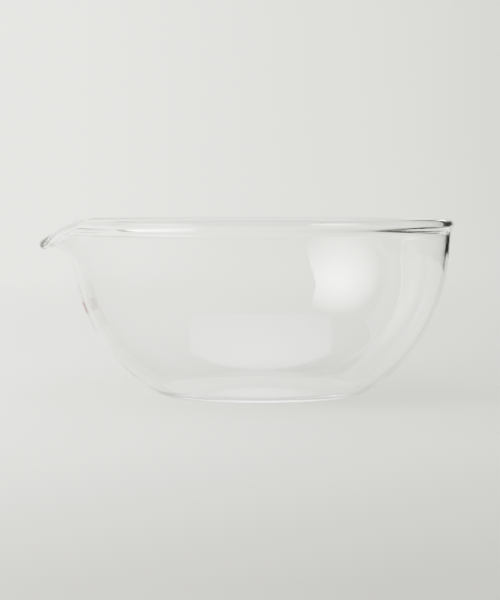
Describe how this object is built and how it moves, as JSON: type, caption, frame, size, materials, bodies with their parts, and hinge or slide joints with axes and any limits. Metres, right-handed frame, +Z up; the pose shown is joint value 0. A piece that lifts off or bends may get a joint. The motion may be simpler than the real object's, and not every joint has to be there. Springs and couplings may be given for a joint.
{
  "type": "mixing bowl",
  "caption": "Clear glass mixing bowl with a flat foot, round wall, rolled rim and a drawn pouring spout, with a small blank film label under the spout.",
  "frame": {"origin": "centre of the flat foot, on the bowl's axis, at the level of the table it stands on", "axes": "+Z up along the bowl's axis; the pouring spout points along -X; the bowl is the same to +Y and -Y"},
  "size_m": [0.2047, 0.1898, 0.086],
  "materials": {
    "clear_glass": "gloss",
    "pale_film": "satin"
  },
  "bodies": {
    "root": {"glass_bowl": "clear_glass", "label": "pale_film"}
  },
  "joints": []
}
